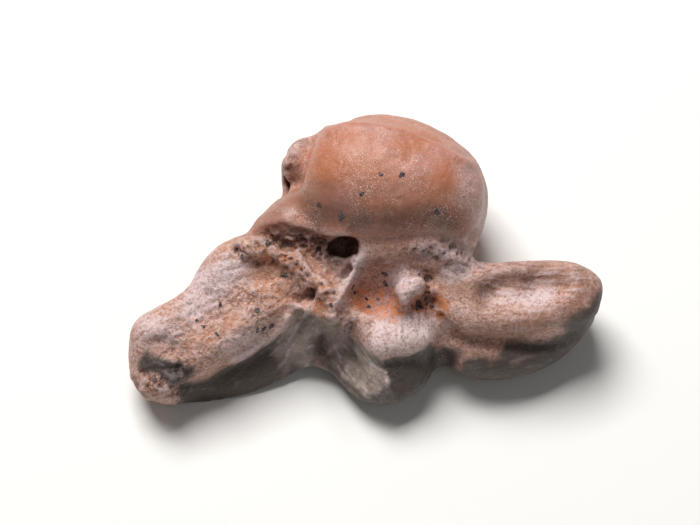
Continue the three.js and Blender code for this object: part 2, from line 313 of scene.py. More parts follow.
class Clay:
    """A closed mesh held as arrays in the tympanic view, so that it can be carved."""

    def __init__(self, mesh: Mesh) -> None:
        """Reads the mesh.

        Args:
            mesh: a closed mesh in the row frame, in metres.
        """
        self.mesh = mesh
        flat = np.empty(len(mesh.vertices) * 3)
        mesh.vertices.foreach_get("co", flat)
        self.points = TympanicView.seen(flat.reshape(-1, 3))
        mesh.calc_loop_triangles()
        corners = np.empty(len(mesh.loop_triangles) * 3, dtype=np.int32)
        mesh.loop_triangles.foreach_get("vertices", corners)
        self.faces = corners.reshape(-1, 3)
        ends = np.empty(len(mesh.edges) * 2, dtype=np.int32)
        mesh.edges.foreach_get("vertices", ends)
        self.edges = ends.reshape(-1, 2)
        self.degree = np.bincount(ends, minlength=len(self.points)).astype(float)

    def total(self, places: np.ndarray, values: np.ndarray) -> np.ndarray:
        """Adds up rows of values at the vertices that they belong to."""
        size = len(self.points)
        return np.stack([np.bincount(places, column, size) for column in values.T], axis=1)

    def normals(self) -> np.ndarray:
        """Gives the outward direction at each vertex."""
        a, b, c = (self.points[self.faces[:, k]] for k in range(3))
        slopes = np.cross(b - a, c - a)
        sums = self.total(self.faces.ravel(), np.repeat(slopes, 3, axis=0))
        return sums / np.maximum(np.linalg.norm(sums, axis=1), 1e-12)[:, None]

    def mean(self, values: np.ndarray) -> np.ndarray:
        """Gives the mean of each vertex's neighbours."""
        a, b = self.edges.T
        sums = self.total(np.concatenate((a, b)), np.concatenate((values[b], values[a])))
        return sums / self.degree[:, None]

    def relaxed(self, values: np.ndarray, rounds: int) -> np.ndarray:
        """Spreads values over the surface, a neighbour further each round."""
        for _ in range(rounds):
            values = 0.5 * values + 0.5 * self.mean(values)
        return values

    def smooth(self, rounds: int) -> None:
        """Smooths the surface and keeps its volume, in rounds of two steps."""
        for _ in range(rounds):
            for step in (SHRINK, GROW):
                self.points = self.points + step * (self.mean(self.points) - self.points)

    def hollowness(self, rounds: int) -> np.ndarray:
        """Tells how far each vertex lies below the smoothed surface, in millimetres."""
        spread = self.relaxed(self.points, rounds)
        return np.einsum("ij,ij->i", spread - self.points, self.normals())

    def push(self, heights: np.ndarray) -> None:
        """Moves each vertex outwards by its height, in millimetres."""
        self.points = self.points + self.normals() * heights[:, None]

    def carve(self, marks: tuple[Mark, ...]) -> None:
        """Carves the marks one after the other."""
        for mark in marks:
            self.points = self.points + mark.moves(self.points, self.normals())

    def write(self) -> None:
        """Writes the carved points back to the mesh, none of them below the floor."""
        places = TympanicView.placed(self.points)
        places[:, 2] = np.maximum(places[:, 2], 0.0)
        self.mesh.vertices.foreach_set("co", places.ravel())
        self.mesh.update()


DEEP = (-8.0, -6.0)  # the depths of a mark that goes down the bone's sides, mm

# What the solid is too coarse to hold: the main forms get their edges.
FORMS = (
    # cochlear dome
    Mark("crest groove", ((-2.6, 12.6), (-1.5, 12.8), (-0.2, 12.75), (1.6, 12.5), (2.8, 12.2),
         (4.1, 11.7), (5.3, 11.2), (6.5, 10.6), (7.8, 10.0)), 0.3, -0.42, depths=DEEP),
    Mark("dome crest", ((-2.8, 12.1), (-1.5, 12.3), (0.0, 12.3), (1.6, 12.0), (2.8, 11.8), (4.0, 11.3),
         (5.3, 10.7), (6.5, 10.1), (7.6, 9.6)), 0.4, 0.2, depths=DEEP),
    Mark("dome boss", ((0.0, 11.3), (2.2, 11.1)), 1.2, 0.2),
    Mark("lip groove", ((-4.2, 12.0), (-4.6, 10.5), (-5.0, 9.2), (-5.3, 8.1)), 0.4, -0.8, depths=DEEP),
    Mark("lip slope", ((-6.2, 10.4), (-5.3, 9.9)), 0.3, -0.25, depths=DEEP),
    Mark("round window hollow", ((-5.7, 8.95), (-5.5, 8.2)), 0.45, -0.6, depths=DEEP),
    Mark("dome foot crease", ((0.4, 3.9), (1.5, 3.8), (3.4, 3.95), (4.9, 4.1), (6.7, 3.8), (8.2, 4.1)),
         0.45, -0.32),
    # stapedial fossa and the oval window
    Mark("foot ledge", ((-8.3, 4.6), (-7.3, 5.0), (-6.2, 5.2), (-5.3, 5.0), (-4.4, 4.85), (-3.6, 4.6),
         (-2.4, 4.35), (-0.7, 4.25)), 0.4, 0.4, Form.LEDGE, reach=1.1, lean=0.25),
    Mark("oval window", ((-1.7, 3.2), (-1.0, 3.15)), 0.7, -0.8, Form.PLATEAU),
    Mark("stapedial fossa", ((-7.6, 3.85), (-6.0, 3.6), (-4.5, 3.3), (-3.3, 3.0)), 0.6, -0.5),
    Mark("fossa plate", ((-6.9, 4.3), (-5.9, 3.9), (-5.0, 3.9)), 0.22, 0.3),
    Mark("window funnel", ((-3.5, 3.0), (-2.9, 3.0)), 0.7, -0.4),
    Mark("window rim", ((-2.6, 2.7), (-2.1, 2.3), (-1.5, 2.15), (-0.8, 2.4), (-0.45, 3.0)), 0.22, 0.3),
    # malleus fossa and what borders it
    Mark("crista", ((-0.4, 3.3), (-0.6, 2.6), (-0.8, 2.0), (-1.0, 1.3), (-1.4, 0.4), (-2.0, -0.5),
         (-2.5, -1.3), (-2.6, -2.1)), 0.32, 0.4),
    Mark("facial canal", ((-1.7, 1.2), (-1.3, 1.7)), 0.22, -1.0, Form.PLATEAU),
    Mark("roof swell", ((-0.1, 3.2), (1.5, 3.15), (3.2, 3.0)), 0.8, 0.3),
    Mark("roof crust", ((4.1, 3.4), (5.6, 3.2), (6.5, 2.6)), 0.6, 0.25),
    Mark("malleus overhang", ((-0.5, 1.5), (-0.1, 2.1), (0.7, 2.3), (1.9, 2.1), (3.0, 1.8)), 0.7, 0.3,
         Form.LEDGE, reach=1.3, lean=0.1),
    Mark("malleus bowl", ((0.5, -0.5), (1.5, -0.5)), 1.3, -0.4),
    Mark("malleus sill", ((-1.1, -0.7), (-0.6, -1.6), (0.1, -2.1), (1.0, -1.85), (1.9, -1.5),
         (2.5, -0.9)), 0.35, 0.3),
    Mark("outer sill", ((-2.6, -2.1), (-1.9, -2.0), (-1.1, -2.3)), 0.35, 0.25),
    Mark("knob", ((3.15, 0.1), (3.85, 0.6)), 0.7, 1.1, Form.PLATEAU),
    Mark("knob tail", ((2.9, 0.0), (2.7, -1.1)), 0.35, 0.5),
    Mark("knob arc", ((3.5, 1.5), (4.5, 1.35), (5.0, 0.55), (4.7, -0.3)), 0.26, -0.5),
    Mark("knob pit", ((4.1, -1.0), (4.9, -0.85)), 0.45, -0.5),
    Mark("suture", ((5.1, -1.6), (5.7, -2.4), (6.7, -3.2)), 0.15, -0.25),
    Mark("second suture", ((5.4, -1.6), (6.1, -2.35), (7.0, -3.05)), 0.13, -0.2),
    # lateral tuberosity
    Mark("knob root", ((3.1, -1.5), (4.0, -1.8)), 0.9, 0.3),
    Mark("tuberosity edge", ((-1.1, -3.0), (-0.6, -3.6), (0.1, -4.3), (1.25, -5.0), (2.2, -4.7),
         (3.1, -4.5), (4.3, -4.15), (5.1, -3.55)), 0.7, 0.55, Form.WALL, reach=2.0, depths=DEEP),
    Mark("tuberosity flank", ((0.9, -6.0), (3.8, -6.0)), 0.9, 0.35, depths=DEEP),
    Mark("sill foot", ((-4.8, -2.5), (-3.0, -2.7), (-1.9, -2.7)), 0.7, 0.3),
    Mark("notch", ((-1.3, -2.9), (-1.0, -2.6)), 0.25, -0.7, Form.PLATEAU),
    Mark("flank pit", ((-3.0, -3.05), (-2.9, -3.2)), 0.2, -0.4),
    Mark("flank crevice", ((-2.9, -3.4), (-3.1, -4.5), (-3.0, -5.2)), 0.25, -0.3),
    Mark("keel gap", ((5.9, -5.0), (6.1, -6.1)), 0.6, -0.6, depths=DEEP),
    # posterior process
    Mark("posterior rim", ((-2.0, -0.3), (-2.8, 0.1), (-3.4, 0.6), (-4.0, 1.15), (-4.7, 1.9),
         (-5.1, 2.4), (-6.2, 2.6), (-6.9, 2.95), (-7.5, 3.3), (-8.6, 3.65), (-9.4, 3.7)), 0.32, 0.75,
         Form.LEDGE, reach=0.8, lean=0.4),
    Mark("rim pock", ((-8.2, 2.0), (-7.7, 2.15)), 0.25, -0.3),
    Mark("corner pock", ((-9.9, 2.6), (-9.6, 3.0)), 0.3, -0.3),
    Mark("facet pock", ((-8.9, -0.9), (-8.6, -0.7)), 0.3, -0.2),
    Mark("rim hollow", ((-8.5, 1.7), (-8.0, 2.1), (-7.4, 2.1), (-6.7, 1.8), (-5.8, 1.5)), 0.6, -0.06),
    Mark("facet step", ((-7.6, 0.6), (-8.2, 0.4), (-8.6, 0.0), (-8.7, -0.8)), 0.25, 0.18, Form.LEDGE,
         reach=0.8),
    Mark("incus pit", ((-4.9, -0.6), (-4.2, -0.3), (-3.7, 0.25)), 0.38, -0.7, Form.PLATEAU),
    Mark("incus lip", ((-3.5, 0.85), (-3.0, 0.3), (-3.2, -0.1)), 0.3, 0.3),
    Mark("facet edge", ((-14.6, -7.0), (-12.4, -6.5), (-10.5, -5.5), (-9.4, -5.1), (-7.1, -3.7),
         (-6.0, -2.8), (-5.6, -2.1), (-5.3, -1.1)), 0.5, 1.4, Form.WALL, reach=2.5, depths=DEEP),
    Mark("facet lip", ((-12.4, -6.2), (-10.6, -5.2), (-9.5, -4.8), (-7.3, -3.45), (-6.3, -2.7),
         (-5.9, -2.0)), 0.3, 0.2),
    Mark("tip lump", ((-16.5, -3.0), (-15.5, -3.1)), 0.9, 0.4),
    Mark("tip hollow", ((-15.3, -4.3), (-13.8, -4.9)), 1.0, -0.55),
    Mark("tip band", ((-16.6, -6.15), (-14.7, -6.0), (-12.8, -6.1)), 0.5, -0.45, depths=DEEP),
    Mark("tip foot", ((-16.5, -7.4), (-15.3, -7.7)), 0.7, 0.35, depths=DEEP),
    # anterior process
    Mark("anterior fossa", ((10.1, 0.8), (11.1, 1.1)), 0.6, -0.22),
    Mark("anterior basin", ((9.2, -0.2), (10.4, 0.5), (12.4, 0.7), (14.6, 0.5)), 0.8, -0.3),
    Mark("anterior ridge", ((6.0, 1.2), (7.8, 1.9), (10.1, 2.4), (13.1, 2.4), (15.7, 1.8)), 0.5, 0.15),
    Mark("anterior edge", ((6.7, -3.2), (9.5, -3.0), (12.1, -2.95), (14.2, -2.5), (15.6, -1.6)), 0.7,
         0.25, Form.LEDGE, reach=1.4),
    Mark("anterior tip", ((17.3, -1.6), (17.0, -2.3)), 0.6, 0.22, depths=DEEP),
    Mark("sulcus", ((6.8, -3.55), (10.1, -3.9), (12.8, -4.4), (14.0, -4.3), (15.6, -3.6)), 0.45, -0.35,
         depths=DEEP),
)


@dataclass(frozen=True)
class Zone:
    """A part of the surface with a finish of its own, or with painted shade and highlights, drawn as soft
    patches round lines.

    Attributes:
        name: the attribute that holds it on the skin.
        patches: a line and its reach for each patch.
        soft: how far a patch's border fades.
        ragged: how far its border wanders.
        turned: it is gone where the surface faces the viewer less than the first, full at the second.
    """

    name: str
    patches: tuple[tuple[Corners, float], ...]
    soft: float = 0.5
    ragged: float = 0.5
    turned: tuple[float, float] = (-0.6, 0.0)

    def cover(self, points: np.ndarray, normals: np.ndarray, wander: np.ndarray) -> np.ndarray:
        """Tells how much of the zone covers each point.

        Args:
            points: rows of x, y and z in the view.
            normals: the surface's outward directions there.
            wander: an irregular pattern that shifts the borders.

        Returns:
            Values from 0 to 1.
        """
        cover = np.zeros(len(points))
        for line, reach in self.patches:
            away = Line(line, points).away + self.ragged * wander
            cover = np.maximum(cover, 1.0 - fade(away, reach - self.soft, reach + self.soft))
        return cover * fade(normals[:, 2], *self.turned)


ZONES = (
    Zone("dome", (
        (((-0.3, 8.6), (3.3, 8.3)), 4.7), (((-1.5, 7.0), (-4.9, 6.4), (-7.6, 5.4)), 1.5),
        (((2.3, 10.0), (5.0, 8.0)), 4.6),
    ), soft=0.7, ragged=0.25),
    Zone("stain", (
        (((-0.4, -0.5), (0.6, -1.0), (1.9, -1.1)), 0.95), (((4.3, -0.9), (5.2, -0.6), (5.4, -1.4)), 0.75),
        (((-3.4, -0.9), (-2.8, -1.2)), 0.45), (((-7.9, 2.6), (-5.6, 1.9)), 0.35),
    ), soft=0.45, ragged=0.8),
    # Whitish patches on the bone, partly painted highlights on lit tops such as the knob, the crista and the
    # anterior process.
    Zone("bloom_and_highlight", (
        (((7.6, 8.0), (8.6, 5.6)), 1.3), (((-13.0, -1.2), (-10.6, 0.6)), 1.0),
        (((-11.8, 0.6), (-9.4, 2.4)), 1.2), (((4.8, 3.6), (6.6, 2.8)), 1.0),
        (((2.2, -2.4), (4.2, -2.8), (1.2, -3.6)), 1.5), (((-2.0, -3.4), (-1.0, -5.4), (0.8, -7.4)), 0.9),
        (((9.6, -0.9), (13.4, -0.6)), 0.6), (((6.2, 1.5), (8.2, 2.3)), 0.5),
        (((2.8, 0.7), (3.9, -0.1)), 1.25), (((-0.3, 2.9), (-0.7, 1.6), (-1.3, 0.3), (-2.3, -1.1)), 0.45),
        (((3.0, -1.2), (4.0, -2.0)), 0.8), (((-9.4, -4.4), (-6.2, -4.4)), 1.3),
        (((-16.4, -2.7), (-14.6, -3.0)), 0.7),
    ), soft=0.8, ragged=0.9),
    # Painted shade: the dome's lower part and its foot are darker.
    Zone("lower_dome_shade", (
        (((-2.8, 6.6), (3.0, 6.2), (7.0, 6.4)), 1.7), (((-7.6, 5.2), (-5.2, 6.4)), 1.0),
    ), soft=1.4, ragged=0.6),
    Zone("flank", (
        (((-5.0, -1.7), (-5.5, -2.9), (-6.2, -4.3)), 0.65),
        (((-6.2, -4.9), (-5.2, -3.9), (-4.7, -5.0), (-4.1, -3.2)), 1.0),
        (((-2.6, -3.4), (-1.6, -5.4), (-0.6, -6.6)), 1.0), (((-0.4, -4.6), (0.4, -6.6)), 0.6),
    ), soft=0.6, ragged=0.8),
    # Painted shade: the steep walls on the bone's lower side, which face down and away, are darkened.
    Zone("wall", (
        (((-13.0, -8.6), (-10.5, -8.2), (-8.4, -7.5), (-6.4, -6.6), (-4.8, -6.1)), 1.3),
        (((-16.2, -5.5), (-13.6, -6.4)), 0.7), (((-3.4, -6.8), (-1.4, -8.8)), 0.5),
        (((-0.6, -8.7), (1.6, -8.4), (3.9, -7.8), (5.4, -6.4), (6.0, -5.2)), 1.2),
        (((6.4, -6.7), (8.5, -6.5), (11.0, -6.2), (13.5, -5.4), (15.5, -4.2), (17.0, -2.6),
          (17.8, -1.0)), 0.9), (((11.0, -4.7), (13.5, -4.6), (15.5, -3.4), (16.9, -1.9)), 0.75),
        (((7.6, -5.6), (10.5, -5.5)), 0.3),
    ), soft=0.4, ragged=0.5, turned=(-0.95, -0.7)),
    Zone("fibrous", (
        (((-9.9, 2.0), (-11.8, -0.4), (-15.0, -2.6)), 1.5), (((6.8, 1.4), (9.0, 2.4), (13.0, 2.6)), 0.8),
        (((10.4, 0.0), (12.4, -0.6), (15.4, 0.6)), 1.2), (((-6.5, -4.8), (-4.4, -3.6), (-5.0, -5.4)), 1.3),
        (((-2.2, -4.0), (-0.8, -6.4)), 1.3), (((1.2, -3.0), (3.8, -3.0)), 1.0),
    ), soft=0.9, ragged=0.6),
    Zone("rough", (
        (((-7.8, 4.0), (-5.4, 3.6), (-3.5, 3.1)), 0.85),
        (((-9.6, 3.3), (-7.6, 2.7), (-5.2, 1.8), (-3.8, 0.6), (-2.9, -0.6)), 0.6),
        (((4.2, 3.3), (5.6, 3.0), (6.9, 2.4)), 0.75),
        (((4.4, 1.1), (5.0, 0.2), (4.6, -1.1), (5.2, -2.0)), 0.5), (((-2.8, -1.6), (-1.2, -2.4)), 0.5),
        (((-6.0, 11.0), (-6.2, 9.0)), 0.7), (((-16.4, -7.6), (-14.4, -7.2)), 0.9),
    ), soft=0.5, ragged=0.6),
    Zone("brown", (
        (((6.0, 0.9), (8.2, -0.2), (8.8, -1.2)), 1.1), (((16.2, 1.2), (17.2, 0.2)), 0.8),
        (((7.2, -2.8), (11.5, -2.6), (14.5, -1.9), (16.5, 0.0)), 0.65),
        (((-0.6, -3.4), (1.2, -4.5), (3.2, -4.1), (4.6, -3.6)), 0.45), (((11.8, 1.4), (14.8, 1.2)), 0.7),
        (((0.2, 2.2), (3.2, 2.3)), 0.5), (((6.8, -5.3), (10.8, -5.4)), 0.8),
        (((-16.8, -7.6), (-14.4, -7.6)), 0.8), (((-9.8, 3.0), (-9.4, 1.8)), 0.7),
        (((-6.2, 10.0), (-6.0, 9.0)), 0.6), (((-4.4, 2.6), (-3.1, 1.5), (-2.3, 0.5)), 0.6),
        (((-5.4, 11.4), (-6.0, 9.0)), 1.1), (((-7.9, 5.4), (-4.6, 6.8)), 0.8),
    ), soft=0.8, ragged=0.7),
    Zone("tan", (
        (((-9.2, 3.2), (-7.0, 2.6), (-5.2, 1.8), (-3.6, 0.6)), 0.8), (((-7.6, 2.0), (-6.6, -0.4)), 1.2),
        (((-4.4, -1.8), (-3.2, -2.6)), 0.9), (((4.3, -0.2), (4.6, 0.8)), 0.4),
        (((-10.4, 3.2), (-8.8, 3.5), (-6.8, 2.9), (-5.2, 2.3), (-4.2, 1.2), (-3.0, 0.1)), 0.6),
        (((-12.6, -3.8), (-9.6, -2.4)), 0.4),
    ), soft=0.7, ragged=0.8),
    Zone("shade", (
        (((-8.0, 4.0), (-5.5, 3.7), (-3.3, 3.1), (-2.6, 2.2)), 0.95), (((-1.75, 1.15), (-1.3, 1.75)), 0.35),
        (((-3.5, 5.4), (2.0, 5.1), (6.5, 5.2)), 0.9), (((9.0, 0.1), (10.4, 0.8), (11.8, 0.9)), 0.95),
        (((-15.9, -6.9), (-15.0, -7.1)), 0.3), (((4.2, -1.1), (4.9, -0.9)), 0.35),
        (((-9.9, 2.6), (-9.5, 3.0)), 0.3), (((-8.2, 2.0), (-7.7, 2.1)), 0.25),
    ), soft=0.9, ragged=0.7),
    Zone("crust", (
        (((-8.8, 3.2), (-5.2, 2.2), (-3.4, 0.4)), 1.1), (((-7.4, 1.0), (-5.2, -0.6)), 1.8),
        (((-7.6, 3.9), (-3.4, 3.1)), 0.95), (((4.4, 3.2), (7.4, 2.3)), 1.1),
        (((3.1, 0.6), (4.0, -0.4)), 0.8), (((-16.8, -7.2), (-14.4, -7.0)), 1.4),
        (((-13.2, -3.4), (-9.0, -1.4)), 2.6),
    ), soft=0.6, ragged=0.7),
)

# Where the bone's fibres run: x and y in the view, and their angle there, in degrees.
GRAIN = (
    (7.5, 0.5, -28.0), (10.5, -1.0, -10.0), (14.5, 0.5, 5.0), (9.5, -5.2, 12.0), (2.6, -3.0, 95.0),
    (-1.8, -4.4, 118.0), (-0.6, -7.0, 135.0), (2.0, -8.0, 175.0), (4.4, -6.0, 62.0), (-5.6, -4.2, 52.0),
    (-9.0, -6.4, 36.0), (-13.5, -8.0, 18.0), (-9.0, -1.5, 28.0), (-15.5, -4.0, 20.0), (-6.5, 3.2, -22.0),
    (-1.0, 1.0, 62.0), (1.4, -0.8, 10.0), (3.6, 3.0, -4.0), (0.0, 8.0, -6.0), (6.0, 8.0, -30.0),
)


class Grain:
    """The fibrous grain of the bone, as short strokes along a field of directions."""

    blend = 0.3  # how far an anchor's own angle reaches before others mix in, mm
    steepest = 0.35  # limits how far strokes climb on steep ground
    climb = 1.5
    steps = 4  # samples that each stroke takes either way
    stride = 0.17  # the distance between the samples, mm
    width = 0.34  # the size of the pattern that the strokes draw out, mm

    def __init__(self, anchors: tuple[tuple[float, float, float], ...]) -> None:
        """Keeps the anchors of the field.

        Args:
            anchors: x and y of each anchor, and the strokes' angle there in degrees.
        """
        self.places = np.array([anchor[:2] for anchor in anchors])
        self.doubled = np.radians([2.0 * anchor[2] for anchor in anchors])

    def ways(self, points: np.ndarray, normals: np.ndarray) -> np.ndarray:
        """Gives the direction of the strokes at each point, along the surface."""
        away = np.linalg.norm(points[:, None, :2] - self.places, axis=2)
        share = 1.0 / (away + self.blend) ** 3
        angle = 0.5 * np.arctan2(share @ np.sin(self.doubled), share @ np.cos(self.doubled))
        flat = np.stack((np.cos(angle), np.sin(angle)), axis=1)
        steep = np.maximum(np.abs(normals[:, 2]), self.steepest) * np.where(normals[:, 2] < 0.0, -1.0, 1.0)
        climb = -np.einsum("ij,ij->i", flat, normals[:, :2]) / steep
        ways = np.column_stack((flat, np.clip(climb, -self.climb, self.climb)))
        return ways / np.linalg.norm(ways, axis=1)[:, None]

    def fibres(self, points: np.ndarray, normals: np.ndarray) -> np.ndarray:
        """Draws out a fine pattern along the field.

        Args:
            points: rows of x, y and z in the view.
            normals: the surface's outward directions there.

        Returns:
            Values of about -1 to 1.
        """
        ways = self.ways(points, normals)
        total = np.zeros(len(points))
        for step in range(-self.steps, self.steps + 1):
            total += cloud(points + ways * (step * self.stride), self.width, 2, seed=5.0)
        return np.clip((total - total.mean()) / (2.0 * total.std()), -1.2, 1.2)


@dataclass(frozen=True)
class Relief:
    """How high each kind of fine relief stands, in millimetres."""

    swells: float = 0.03
    grain: float = 0.016
    fibres: float = 0.008
    strong_fibres: float = 0.03
    crust_lumps: float = 0.15
    crust_grain: float = 0.06
    crust_pores: float = 0.16
    crust_crags: float = 0.025
    rough_crags: float = 0.1
    crag_limit: float = 1.8
    dome_swells: float = 0.05
    dome_pores: float = 0.07


class Skin:
    """The bone's visible surface: a close-meshed, carved copy of the solid."""

    def __init__(self, solid: Object) -> None:
        """Keeps the solid that is copied.

        Args:
            solid: the frame's object for the bone.
        """
        self.solid = solid

    def meshed(self, source: Mesh, voxel: float, rounding: int = 0) -> Mesh:
        """Meshes a closed surface anew with even squares.

        Args:
            source: the closed surface, in metres.
            voxel: side of the squares, in millimetres.
            rounding: subdivision levels that round the source first.

        Returns:
            The new mesh, in metres.
        """
        grown = source.copy()
        grown.transform(Matrix.Scale(1.0 / MM, 4))
        worker = linked("meshing", grown)
        if rounding:
            rounder = worker.modifiers.new("round", "SUBSURF")
            rounder.levels = rounding
            rounder.render_levels = rounding
        mesher = worker.modifiers.new("mesh", "REMESH")
        mesher.mode = "VOXEL"
        mesher.voxel_size = voxel
        graph = bpy.context.evaluated_depsgraph_get()
        mesh = bpy.data.meshes.new_from_object(worker.evaluated_get(graph))
        mesh.transform(Matrix.Scale(MM, 4))
        bpy.data.objects.remove(worker)
        bpy.data.meshes.remove(grown)
        return mesh

    def merged(self) -> Mesh:
        """Copies the solid's mesh as one closed surface."""
        build = bmesh.new()
        build.from_mesh(self.solid.data)
        bmesh.ops.remove_doubles(build, verts=build.verts, dist=MERGE)
        return settled("merged", build)

    def relief(self, clay: Clay) -> None:
        """Gives the surface its fine, irregular relief, zone by zone.

        Args:
            clay: the carved surface.
        """
        normals = clay.normals()
        wander = cloud(clay.points, 2.6, 3, seed=1.0)
        zones = {zone.name: zone.cover(clay.points, normals, wander) for zone in ZONES}
        high = Relief()
        fine = cloud(clay.points, 0.42, 3, seed=2.0)
        swells = cloud(clay.points, 2.4, 3, seed=3.0)
        pores = np.maximum(cloud(clay.points, 0.45, 2, seed=4.0) - 0.2, 0.0)
        lumps = cloud(clay.points, 1.1, 2, seed=9.0)
        crags = cloud(clay.points, 0.95, 2, seed=11.0, basis="VORONOI_F1")
        crags = np.clip((crags - crags.mean()) / crags.std(), -high.crag_limit, high.crag_limit)
        fibres = Grain(GRAIN).fibres(clay.points, normals)
        dome = zones["dome"]
        plain = 1.0 - dome
        crust = zones["crust"] * plain
        rough = zones["rough"] * fade(normals[:, 2], *FACING)
        heights = high.swells * swells * (0.5 + plain)
        heights += high.grain * fine * plain * (1.0 - fade(normals[:, 2], *BELOW))
        heights += crust * (high.crust_lumps * lumps + high.crust_grain * fine - high.crust_pores * pores)
        heights += (high.crust_crags * crust + high.rough_crags * rough) * crags
        heights += fibres * (high.fibres + high.strong_fibres * zones["fibrous"]) * plain
        heights += dome * (high.dome_swells * cloud(clay.points, 1.5, 3, seed=8.0) - high.dome_pores * pores)
        clay.push(heights)
        self.keep(clay.mesh, "fibres", fibres)
        # The painted shade on the face below each wall's edge joins the zone of the shaded walls.
        for mark in FORMS:
            if mark.form is Form.WALL:
                zones["wall"] = np.maximum(zones["wall"], mark.face(clay.points, wander))
        # Painted shade where the surface turns away from the viewer.
        zones["turned_shade"] = fade(normals[:, 2], *SHADE_ASIDE)
        for name, cover in zones.items():
            self.keep(clay.mesh, name, cover)

    @staticmethod
    def keep(mesh: Mesh, name: str, values: np.ndarray) -> None:
        """Keeps a value for each vertex as an attribute of the mesh."""
        layer = mesh.attributes.new(name, "FLOAT", "POINT")
        layer.data.foreach_set("value", values.astype(np.float32))

    def build(self) -> Object:
        """Meshes, carves and marks the skin.

        Returns:
            The skin's object.
        """
        rough = Clay(self.meshed(self.merged(), FIRST_VOXEL, ROUNDING))
        rough.smooth(FIRST_SMOOTHING)
        rough.carve(FORMS)
        rough.smooth(LAST_SMOOTHING)
        rough.write()
        clay = Clay(self.meshed(rough.mesh, LAST_VOXEL))
        clay.smooth(LAST_SMOOTHING)
        self.relief(clay)
        self.keep(clay.mesh, "hollow", clay.hollowness(HOLLOW_ROUNDS))
        self.keep(clay.mesh, "crease", clay.hollowness(CREASE_ROUNDS))
        clay.write()
        clay.mesh.name = "bone_skin"
        clay.mesh.polygons.foreach_set("use_smooth", np.ones(len(clay.mesh.polygons), dtype=bool))
        return linked("bone_skin", clay.mesh)


def tint(code: str) -> tuple[float, float, float, float]:
    """Turns an sRGB code such as b07a5e into the linear colour that a shader takes."""
    parts = (int(code[k:k + 2], 16) / 255.0 for k in (0, 2, 4))
    linear = (p / 12.92 if p <= 0.04045 else ((p + 0.055) / 1.055) ** 2.4 for p in parts)
    return (*linear, 1.0)


class Value:
    """A number that varies over the surface, with the arithmetic of shader nodes."""

    def __init__(self, shop: "Shop", socket: NodeSocket) -> None:
        """Wraps an output socket."""
        self.shop = shop
        self.socket = socket

    def _math(self, operation: str, a: "Value | float", b: "Value | float") -> "Value":
        """Adds a Math node that works on two numbers."""
        node = self.shop.node("ShaderNodeMath", {"operation": operation}, {0: a, 1: b})
        return Value(self.shop, node.outputs[0])

    def __add__(self, other: "Value | float") -> "Value":
        """Adds."""
        return self._math("ADD", self, other)

    __radd__ = __add__

    def __sub__(self, other: "Value | float") -> "Value":
        """Subtracts a number from this one."""
        return self._math("SUBTRACT", self, other)

    def __rsub__(self, other: "Value | float") -> "Value":
        """Subtracts this one from a number."""
        return self._math("SUBTRACT", other, self)

    def __mul__(self, other: "Value | float") -> "Value":
        """Multiplies."""
        return self._math("MULTIPLY", self, other)

    __rmul__ = __mul__

    def between(self, low: float, high: float) -> "Value":
        """Rises smoothly from 0 to 1 as the number goes from low to high."""
        node = self.shop.node(
            "ShaderNodeMapRange", {"interpolation_type": "SMOOTHSTEP", "clamp": True},
            {"Value": self, "From Min": low, "From Max": high, "To Min": 0.0, "To Max": 1.0})
        return Value(self.shop, node.outputs["Result"])


class Shop:
    """Makes the nodes of one material."""

    def __init__(self, name: str) -> None:
        """Starts a material with only its output.

        Args:
            name: the material's name.
        """
        self.material = bpy.data.materials.new(name)
        self.material.use_nodes = True
        self.tree = self.material.node_tree
        self.tree.nodes.clear()
        self.output = self.node("ShaderNodeOutputMaterial")

    def node(self, kind: str, settings: dict | None = None, inputs: dict | None = None) -> Node:
        """Adds a node.

        Args:
            kind: the node's type.
            settings: what is set on the node itself.
            inputs: a value or a link for each named or numbered socket.

        Returns:
            The node.
        """
        node = self.tree.nodes.new(kind)
        for name, setting in (settings or {}).items():
            setattr(node, name, setting)
        for name, value in (inputs or {}).items():
            if isinstance(value, Value):
                value = value.socket
            if isinstance(value, NodeSocket):
                self.tree.links.new(value, node.inputs[name])
            else:
                node.inputs[name].default_value = value
        return node

    def attribute(self, name: str) -> Value:
        """Reads a number kept on the mesh."""
        node = self.node("ShaderNodeAttribute", {"attribute_name": name})
        return Value(self, node.outputs["Fac"])

    def place(self) -> NodeSocket:
        """Gives the place on the object, in millimetres."""
        where = self.node("ShaderNodeTexCoord").outputs["Object"]
        mapping = self.node("ShaderNodeMapping", {"vector_type": "TEXTURE"}, {
            "Vector": where, "Scale": (MM, MM, MM)})
        return mapping.outputs["Vector"]

    def noise(self, where: NodeSocket, size: float, detail: float = 3.0,
              rough: float = 0.55, seed: float = 0.0) -> Value:
        """Reads a soft pattern whose largest patches are about `size` millimetres wide."""
        node = self.node("ShaderNodeTexNoise", {"normalize": True, "noise_dimensions": "4D"}, {
            "Vector": where, "W": seed, "Scale": 1.0 / size, "Detail": detail, "Roughness": rough})
        return Value(self, node.outputs["Fac"])

    def mixed(self, share: Value | float, first: object, second: object) -> NodeSocket:
        """Mixes two colours.

        Args:
            share: how much of the second shows.
            first: a colour or a socket.
            second: a colour or a socket.

        Returns:
            The mixed colour's socket.
        """
        node = self.node("ShaderNodeMix", {"data_type": "RGBA"}, {0: share, 6: first, 7: second})
        return node.outputs[2]

    def layered(self, colour: NodeSocket,
                layers: tuple[tuple[Value, str], ...]) -> NodeSocket:
        """Lays colours over one another.

        Args:
            colour: the lowest colour.
            layers: how much of each further colour shows, and its code.

        Returns:
            The last colour's socket.
        """
        for share, code in layers:
            colour = self.mixed(share, colour, tint(code))
        return colour

    def bump(self, height: Value, strength: float, distance: float) -> NodeSocket:
        """Gives normals with bumps, whose height is counted in distances of so many metres."""
        inputs = {"Height": height, "Strength": strength, "Distance": distance}
        return self.node("ShaderNodeBump", {}, inputs).outputs["Normal"]

    def finished(self, inputs: dict) -> Material:
        """Gives the material, with a Principled shader that has these inputs."""
        shader = self.node("ShaderNodeBsdfPrincipled", {}, inputs)
        self.tree.links.new(shader.outputs[0], self.output.inputs[0])
        return self.material


